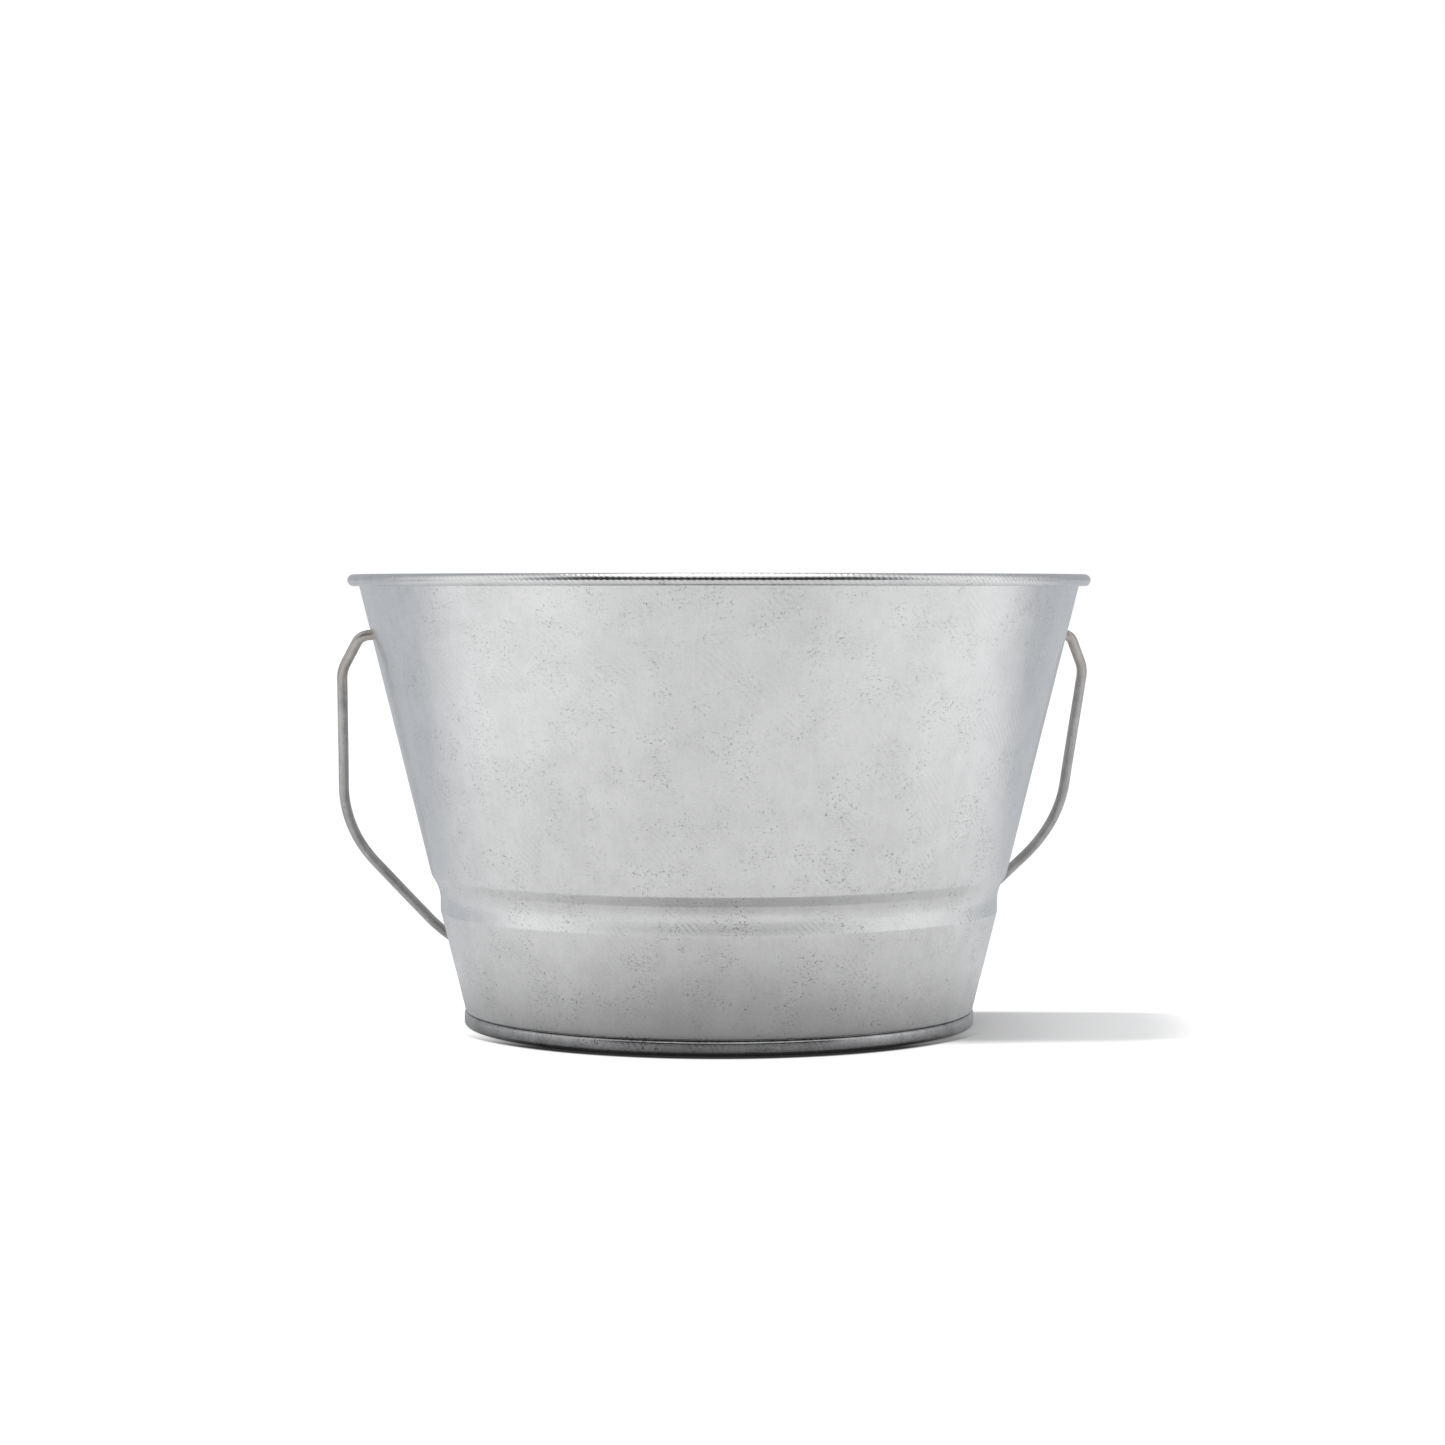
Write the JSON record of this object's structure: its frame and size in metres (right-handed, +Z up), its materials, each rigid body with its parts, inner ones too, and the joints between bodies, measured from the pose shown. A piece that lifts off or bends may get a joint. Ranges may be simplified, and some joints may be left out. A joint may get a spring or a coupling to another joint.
{
  "type": "citronella candle bucket",
  "caption": "Tapered galvanised steel bucket candle with a rolled rim, a pressed step, a seamed base and a swinging wire bail, filled with wax round cotton wicks.",
  "frame": {"origin": "centre of the bucket's foot, on the surface it stands on", "axes": "+Z up along the bucket's axis, +X parallel to the bail's pivot line, +Y to the back, where the bail rests and the wall's lock seam runs"},
  "size_m": [0.1832, 0.1778, 0.108],
  "materials": {
    "galvanised_sheet": "satin",
    "zinc_wire": "satin",
    "candle_wax": "satin",
    "wick_cotton": "matte",
    "tin_plate": "satin"
  },
  "bodies": {
    "bucket": {"bucket_wall": "galvanised_sheet", "base_pan": "galvanised_sheet", "wax_fill": "candle_wax", "wick_1": "wick_cotton", "wick_2": "wick_cotton", "wick_3": "wick_cotton", "wick_clip_1": "tin_plate", "wick_clip_2": "tin_plate", "wick_clip_3": "tin_plate"},
    "bail": {"bail_handle": "zinc_wire"}
  },
  "joints": [
    {"name": "bail_swing", "type": "hinge", "parent": "bucket", "child": "bail", "pos_m": [0, 0, 0.0935], "axis": [1, 0, 0], "range_deg": [0, 287.5]}
  ]
}
